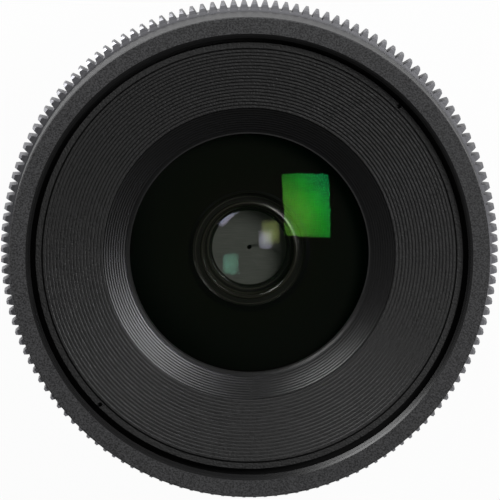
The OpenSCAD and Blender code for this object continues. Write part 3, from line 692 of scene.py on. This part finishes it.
class Marks:
    """Collects the lines and numerals of one scale into one mesh."""

    # Height of a numeral as a share of the font's size
    NUMERAL_SHARE = 0.7

    def __init__(self, cone, width):
        self.cone = cone
        self.width = width
        self.verts = []
        self.faces = []

    def line(self, azimuth, start, end, share=1.0):
        """A line up the slant of the cone, at a share of the usual width."""
        half = share * self.width / 2
        first = len(self.verts)
        for across, along in ((-half, start), (half, start), (half, end), (-half, end)):
            self.verts.append(self.cone.point(azimuth, across, along))
        self.faces.append((first, first + 1, first + 2, first + 3))

    def number(self, text, azimuth, along, height, on_side=False):
        """A numeral centred at a place on the cone. On its side, an 8 is the sign for infinity."""
        curve = bpy.data.curves.new("numeral", "FONT")
        curve.body = text
        curve.size = height / self.NUMERAL_SHARE
        curve.align_x = "CENTER"
        curve.align_y = "CENTER"
        curve.resolution_u = 4
        holder = bpy.data.objects.new("numeral", curve)
        bpy.context.scene.collection.objects.link(holder)
        drawn = holder.evaluated_get(bpy.context.evaluated_depsgraph_get())
        mesh = bpy.data.meshes.new_from_object(drawn)
        first = len(self.verts)
        for vertex in mesh.vertices:
            across, up = vertex.co.x, vertex.co.y
            if on_side:
                across, up = up, -across
            self.verts.append(self.cone.point(azimuth, across, along + up))
        for polygon in mesh.polygons:
            self.faces.append(tuple(first + v for v in polygon.vertices))
        bpy.data.objects.remove(holder)
        bpy.data.curves.remove(curve)
        bpy.data.meshes.remove(mesh)

    def piece(self, name, body, slot, material):
        """Make the piece that holds these marks."""
        return add_piece(name, self.verts, self.faces, [material], body)


class LENS_OT_metal_finishes(bpy.types.Operator):
    """Give the barrel, rings, baffle, mount, keys and screws their finishes"""

    bl_idname = "lens.metal_finishes"
    bl_label = "Metal finishes"

    def execute(self, context):
        colours = context.scene.lens_colours
        dress(bead_blasted_black_anodised_aluminium(colours), *nodes_of("black_anodised"))
        dress(bead_blasted_black_anodised_rim(colours), "front_ring")
        dress(matte_black_anodised_baffle(colours), *nodes_of("matte_black"))
        dress(hard_black_anodised_retainer(colours), "front_retainer")
        dress(satin_black_optical_paint(colours), "front_cell", "second_retainer", "iris_stop_plate")
        dress(machined_grey_anodised_aluminium(colours), *nodes_of("gear_anodised"))
        dress(turned_stainless_steel(colours), *nodes_of("stainless"))
        dress(turned_brass(colours), *nodes_of("brass"))
        dress(blackened_screw_steel(colours), *nodes_of("screw_steel"))
        return {"FINISHED"}


class LENS_OT_iris_blades(bpy.types.Operator):
    """Give the eleven iris blades their finish"""

    bl_idname = "lens.iris_blades"
    bl_label = "Iris blades"

    def execute(self, context):
        dress(blackened_spring_steel(context.scene.lens_colours), *nodes_of("blade_steel"))
        return {"FINISHED"}


class LENS_OT_front_glass(bpy.types.Operator):
    """Polish the two elements in front of the iris"""

    bl_idname = "lens.front_glass"
    bl_label = "Front glass"

    def execute(self, context):
        sizes = context.scene.lens_glass
        colours = context.scene.lens_colours
        lacquer = black_edge_lacquer(colours)
        self.polish_front(sizes, colours, lacquer)
        self.polish_second(sizes, colours, lacquer)
        return {"FINISHED"}

    def polish_front(self, sizes, colours, lacquer):
        """The large meniscus, lacquered on its edge and round its hollow."""
        greens = [
            (0.016, colours.level_coat),
            (0.042, colours.front_coat),
            (0.085, colours.steep_coat),
            (0.35, colours.slant_coat),
        ]
        outer = coated_optical_glass("green_coated_glass", greens, blend=0.205)
        hollow = coated_optical_glass("violet_coated_glass", one_tint(colours.hollow_coat), blend=0.2)
        low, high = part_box("front_element")
        # The film of lacquer keeps the back of the glass clear of its seat
        rear = low.z + sizes.lacquer_film
        rim = sizes.hollow_rim
        depth = sizes.hollow_depth - sizes.lacquer_film
        face = dome(sizes.front_radius, high.x, high.z, TO_REAR)
        back = dome((rim * rim + depth * depth) / (2 * depth), rim, rear + depth, TO_REAR)
        profile = face + [(high.x, rear)] + back[::-1]
        bands = [0] * (len(face) - 1) + [1, 1] + [2] * (len(back) - 1)
        verts, faces, parts = turned(profile, bands)
        piece = add_piece(
            "front_element_glass", verts, faces, [outer, lacquer, hollow], "barrel", parts,
        )
        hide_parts("front_element")

    def polish_second(self, sizes, colours, lacquer):
        """The small element before the iris, curved outwards on both sides."""
        first = coated_optical_glass("olive_coated_glass", one_tint(colours.second_coat), blend=0.185)
        last = coated_optical_glass("teal_coated_glass", one_tint(colours.iris_coat), blend=0.17)
        low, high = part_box("second_element")
        face = dome(sizes.second_front_radius, high.x, high.z, TO_REAR)
        back = dome(sizes.second_rear_radius, high.x, low.z, TO_FRONT)
        bands = [0] * (len(face) - 1) + [1] + [2] * (len(back) - 1)
        verts, faces, parts = turned(face + back[::-1], bands)
        piece = add_piece(
            "second_element_glass", verts, faces, [first, lacquer, last], "barrel", parts,
        )
        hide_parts("second_element")


class LENS_OT_rear_glass(bpy.types.Operator):
    """Polish the four elements that slide with the focus group"""

    bl_idname = "lens.rear_glass"
    bl_label = "Rear glass"

    def execute(self, context):
        sizes = context.scene.lens_glass
        colours = context.scene.lens_colours
        finishes = [
            coated_optical_glass("amber_violet_coated_glass", one_tint(colours.rear_coat), blend=0.185),
            black_edge_lacquer(colours),
        ]
        for node, radius in (
            ("doublet_front", sizes.doublet_radius),
            ("fourth_element", sizes.fourth_radius),
            ("rear_element", sizes.rear_radius),
        ):
            low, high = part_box(node)
            face = dome(radius, high.x, high.z, TO_REAR)
            back = dome(radius, high.x, low.z, TO_FRONT)
            self.polish(node, face, back, finishes)
        low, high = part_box("doublet_rear")
        radius = sizes.doublet_radius
        face = dome(radius, high.x, high.z - sag(radius, high.x), TO_FRONT)
        self.polish("doublet_rear", face, [(0.0, low.z), (high.x, low.z)], finishes)
        return {"FINISHED"}

    def polish(self, node, face, back, finishes):
        """Turn one element from the profiles of its two faces. Finishes are its coating and its edge's."""
        bands = [0] * (len(face) - 1) + [1] + [0] * (len(back) - 1)
        verts, faces, parts = turned(face + back[::-1], bands)
        piece = add_piece(node + "_glass", verts, faces, finishes, "focus_group", parts)
        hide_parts(node)


class LENS_OT_filter_thread(bpy.types.Operator):
    """Cut the filter thread inside the front ring"""

    bl_idname = "lens.filter_thread"
    bl_label = "Filter thread"

    # Half widths of the ridge at its foot and its crest, in pitches
    HALF_FOOT = 0.46
    HALF_CREST = 0.06
    # Depth to which the foot is sunk in the wall
    SINK = 0.01 * MM
    # Share of a turn over which the cutter runs in and out
    RUN_OUT = 0.1

    def execute(self, context):
        sizes = context.scene.lens_marks
        mount = next(row for row in frame["record"]["mounts"] if row["name"] == "filter_thread")
        wall = mount["dims"]["r_mm"] * MM
        reach = mount["dims"]["length_mm"] * MM
        middle = mount["pos_m"][2]
        pitch = sizes.thread_pitch
        turns = (reach - pitch) / pitch
        steps = int(turns * TURN_STEPS)
        run_out = self.RUN_OUT * TURN_STEPS
        foot = wall + self.SINK
        verts = []
        faces = []
        for k in range(steps + 1):
            angle = 2 * math.pi * k / TURN_STEPS
            z = middle - reach / 2 + pitch / 2 + pitch * k / TURN_STEPS
            crest = wall - sizes.thread_depth * min(1.0, k / run_out, (steps - k) / run_out)
            for r, dz in (
                (foot, -self.HALF_FOOT),
                (crest, -self.HALF_CREST),
                (crest, self.HALF_CREST),
                (foot, self.HALF_FOOT),
            ):
                verts.append((r * math.cos(angle), r * math.sin(angle), z + dz * pitch))
            if k:
                a = 4 * (k - 1)
                b = 4 * k
                faces += [(a + i, b + i, b + (i + 1) % 4, a + (i + 1) % 4) for i in range(4)]
        faces.append((0, 1, 2, 3))
        faces.append(tuple(4 * steps + i for i in (3, 2, 1, 0)))
        material = NODES["front_ring"].material_slots[0].material
        add_piece("filter_thread_ridge", verts, faces, [material], "barrel")
        return {"FINISHED"}


class LENS_OT_scales(bpy.types.Operator):
    """Engrave the focus scale, the iris scales and the index lines"""

    bl_idname = "lens.scales"
    bl_label = "Scales"

    # Azimuth of the lens's top
    TOP = math.pi / 2
    DISTANCES = (
        "10", "5", "3", "2", "1.5", "1.2", "1", "0.8",
        "0.7", "0.6", "0.5", "0.45", "0.4", "0.35", "0.3", "0.25",
    )
    STOPS = ("22", "16", "11", "8", "5.6", "4", "2.8", "2", "1.5")
    # Radius and height of the rear and front edge of each cone that carries marks, in millimetres
    FOCUS_CONE = ((53.4, 39.55), (56.5, 56.35))
    IRIS_CONE = ((48.2, 28.2), (51.4, 34.45))
    INDEX_CONE = ((52.1, 35.25), (52.8, 38.75))
    # Places on the focus scale, up from its rear edge
    FOCUS_LINE = (0.5 * MM, 3.0 * MM)
    FOCUS_HALF_LINE = (0.5 * MM, 1.8 * MM)
    FOCUS_NUMERAL = 5.4 * MM
    # Places on the iris scale, down from its front edge
    IRIS_LINE = (2.2 * MM, 0.3 * MM)
    IRIS_NUMERAL = 4.0 * MM
    # Widths of the half lines and of the index lines, as shares of the usual one
    HALF_LINE_SHARE = 0.6
    INDEX_SHARE = 1.4

    def execute(self, context):
        sizes = context.scene.lens_marks
        enamel = white_engraving_enamel(context.scene.lens_colours)
        self.focus_scale(sizes, enamel)
        self.iris_scale(sizes, enamel)
        self.index_lines(sizes, enamel)
        return {"FINISHED"}

    def joint_range(self, name):
        """Limits of a joint in radians."""
        row = next(r for r in frame["record"]["behaviour"]["joints"] if r["name"] == name)
        return [math.radians(v) for v in row["range_deg"]]

    def focus_scale(self, sizes, enamel):
        """Distances in metres. The ring's turn goes with one over the distance, and infinity is at rest."""
        full = self.joint_range("focus_turn")[1]
        marks = Marks(Cone(*self.FOCUS_CONE), sizes.line_width)
        turns = [0.0] + [full * sizes.nearest_focus / float(text) for text in self.DISTANCES]
        for turn in turns:
            marks.line(self.TOP - turn, *self.FOCUS_LINE)
        for far, near in zip(turns, turns[1:]):
            marks.line(self.TOP - (far + near) / 2, *self.FOCUS_HALF_LINE, self.HALF_LINE_SHARE)
        marks.number("8", self.TOP, self.FOCUS_NUMERAL, sizes.focus_numeral, on_side=True)
        for text, turn in zip(self.DISTANCES, turns[1:]):
            marks.number(text, self.TOP - turn, self.FOCUS_NUMERAL, sizes.focus_numeral)
        marks.piece("focus_scale_marks", "focus_ring", "black_anodised", enamel)

    def iris_scale(self, sizes, enamel):
        """Stops on both sides of the lens, closed at rest."""
        full = -self.joint_range("iris_turn")[0]
        cone = Cone(*self.IRIS_CONE)
        marks = Marks(cone, sizes.line_width)
        start, end = (cone.slant - down for down in self.IRIS_LINE)
        for side in (self.TOP, -self.TOP):
            for k, text in enumerate(self.STOPS):
                azimuth = side + full * k / (len(self.STOPS) - 1)
                marks.line(azimuth, start, end)
                marks.number(text, azimuth, cone.slant - self.IRIS_NUMERAL, sizes.iris_numeral)
        marks.piece("iris_scale_marks", "iris_drive", "black_anodised", enamel)

    def index_lines(self, sizes, enamel):
        """The fixed lines against which both scales are read."""
        cone = Cone(*self.INDEX_CONE)
        marks = Marks(cone, sizes.line_width)
        for side in (self.TOP, -self.TOP):
            marks.line(side, 0.0, cone.slant, self.INDEX_SHARE)
        marks.piece("index_lines", "barrel", "black_anodised", enamel)


def aim(holder, place, target):
    """Put a light or camera at a place and turn it to a target, with the photograph's up."""
    back = (Vector(place) - Vector(target)).normalized()
    right = Vector((0.0, 1.0, 0.0)).cross(back).normalized()
    up = back.cross(right)
    holder.matrix_world = Matrix.Translation(place) @ Matrix((right, up, back)).transposed().to_4x4()


def add_panel_light(name, place, target, size, level, roll=0.0):
    """A softbox of a given mean brightness, brightest in its middle, out of the camera's sight."""
    width, height = size
    light = bpy.data.lights.new(name, "AREA")
    light.shape = "RECTANGLE"
    light.size = width
    light.size_y = height
    light.energy = level * math.pi * width * height
    light.use_nodes = True
    tree = light.node_tree
    tree.nodes.clear()
    spot = add_node(tree, "ShaderNodeNewGeometry").outputs["Parametric"]
    reach = add_node(tree, "ShaderNodeVectorMath", {"operation": "DISTANCE", 1: (0.5, 0.5, 0.0)}, {0: spot})
    # The lamp behind the cloth lights its middle about three times as much as its corners
    fall = add_node(
        tree, "ShaderNodeMapRange",
        {"From Min": 0.0, "From Max": 0.7, "To Min": 1.5, "To Max": 0.5}, {"Value": reach.outputs["Value"]},
    )
    glow = add_node(tree, "ShaderNodeEmission", links={"Strength": fall.outputs["Result"]})
    add_node(tree, "ShaderNodeOutputLight", links={"Surface": glow.outputs["Emission"]})
    holder = bpy.data.objects.new(name, light)
    bpy.context.scene.collection.objects.link(holder)
    aim(holder, place, target)
    holder.matrix_world = holder.matrix_world @ Matrix.Rotation(roll, 4, "Z")
    holder.visible_camera = False


class LENS_OT_stage(bpy.types.Operator):
    """Set the floor, the room, the lights and the camera"""

    bl_idname = "lens.stage"
    bl_label = "Stage"

    # Half the width of the floor, in metres
    FLOOR_REACH = 30.0
    # Places of the two lights from the middle of the front glass, and their widths and heights, in metres
    KEY_PLACE = Vector((0.443, 0.305, 0.843))
    KEY_SIZE = (0.38, 0.5)
    KEY_ROLL = math.radians(-4.6)
    SIDE_PLACE = Vector((-0.46, 0.62, 0.17))
    SIDE_SIZE = (0.45, 0.44)
    # The room is white up to the first of these heights above the horizon, and dim from the second
    WHITE_END = 0.04
    DIM_START = 0.13
    # Width of the camera's sensor, in millimetres
    SENSOR_WIDTH = 36.0
    # The gear's centre is 0.7 px left of the picture's middle and 0.1 px below it
    PICTURE_MIDDLE = Vector((0.167 * MM, 0.024 * MM, 0.0))

    def execute(self, context):
        scene = context.scene
        stage = scene.lens_stage
        self.lay_floor(scene, stage)
        self.light_room(scene, stage)
        glass = Vector((0.0, 0.0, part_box("front_element")[1].z))
        add_panel_light(
            "key_softbox", glass + self.KEY_PLACE, glass, self.KEY_SIZE, stage.key_level, self.KEY_ROLL,
        )
        add_panel_light("side_panel", glass + self.SIDE_PLACE, glass, self.SIDE_SIZE, stage.side_level)
        self.set_camera(scene, stage)
        scene.view_settings.view_transform = "Standard"
        return {"FINISHED"}

    def lay_floor(self, scene, stage):
        """Paper under the mount, on which the lens stands."""
        level = CAD_BOX[0][2]
        sides = (-self.FLOOR_REACH, self.FLOOR_REACH)
        corners = [(x, y, level) for y in sides for x in sides]
        mesh = bpy.data.meshes.new("paper_floor")
        mesh.from_pydata(corners, [], [(0, 1, 3, 2)])
        mesh.materials.append(pale_paper(stage))
        floor = bpy.data.objects.new("paper_floor", mesh)
        scene.collection.objects.link(floor)

    def light_room(self, scene, stage):
        """A dim room with a white horizon, as on a paper sweep."""
        world = bpy.data.worlds.new("room")
        world.use_nodes = True
        tree = world.node_tree
        tree.nodes.clear()
        way = add_node(tree, "ShaderNodeTexCoord").outputs["Generated"]
        height = add_node(tree, "ShaderNodeSeparateXYZ", links={"Vector": way}).outputs["Z"]
        sky = add_node(
            tree, "ShaderNodeValToRGB",
            {"stops": [(self.WHITE_END, grey(1.0)), (self.DIM_START, grey(stage.room_level))]},
            {"Fac": height},
        )
        glow = add_node(tree, "ShaderNodeBackground", {"Strength": 1.0}, {"Color": sky.outputs["Color"]})
        add_node(tree, "ShaderNodeOutputWorld", links={"Surface": glow.outputs["Background"]})
        scene.world = world

    def set_camera(self, scene, stage):
        """Place the camera where the photograph was taken from."""
        camera = bpy.data.cameras.new("camera")
        camera.lens = stage.camera_lens
        camera.sensor_width = self.SENSOR_WIDTH
        holder = bpy.data.objects.new("camera", camera)
        scene.collection.objects.link(holder)
        gear = Vector((0.0, 0.0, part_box("focus_gear")[1].z))
        tilt = stage.camera_tilt
        away = Vector((0.0, math.sin(tilt), math.cos(tilt))) * stage.camera_distance
        aim(holder, gear + away + self.PICTURE_MIDDLE, gear + self.PICTURE_MIDDLE)
        scene.camera = holder


class LENS_PT_panel(bpy.types.Panel):
    """Lists the steps that dress the lens"""

    bl_idname = "LENS_PT_panel"
    bl_label = "Cinema prime lens"
    bl_space_type = "VIEW_3D"
    bl_region_type = "UI"
    bl_category = "Lens"

    def draw(self, context):
        for operator in OPERATORS:
            self.layout.operator(operator.bl_idname)
        for group, settings in GROUPS.items():
            box = self.layout.box()
            for name in settings.__annotations__:
                box.prop(getattr(context.scene, group), name)


GROUPS = {
    "lens_glass": LensGlassSizes,
    "lens_marks": LensMarkSizes,
    "lens_colours": LensColours,
    "lens_stage": LensStage,
}
OPERATORS = (
    LENS_OT_metal_finishes,
    LENS_OT_iris_blades,
    LENS_OT_front_glass,
    LENS_OT_rear_glass,
    LENS_OT_filter_thread,
    LENS_OT_scales,
    LENS_OT_stage,
)


def register():
    """Register the classes and hang the groups of settings on the scene."""
    for group, settings in GROUPS.items():
        bpy.utils.register_class(settings)
        setattr(bpy.types.Scene, group, bpy.props.PointerProperty(type=settings))
    for operator in OPERATORS:
        bpy.utils.register_class(operator)
    bpy.utils.register_class(LENS_PT_panel)


def unregister():
    """Undo what register did, in the opposite order."""
    bpy.utils.unregister_class(LENS_PT_panel)
    for operator in reversed(OPERATORS):
        bpy.utils.unregister_class(operator)
    for group, settings in reversed(GROUPS.items()):
        delattr(bpy.types.Scene, group)
        bpy.utils.unregister_class(settings)


def main():
    """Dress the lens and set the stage."""
    register()
    bpy.ops.lens.metal_finishes()
    bpy.ops.lens.iris_blades()
    bpy.ops.lens.front_glass()
    bpy.ops.lens.rear_glass()
    bpy.ops.lens.filter_thread()
    bpy.ops.lens.scales()
    bpy.ops.lens.stage()


if __name__ == "__main__":
    main()
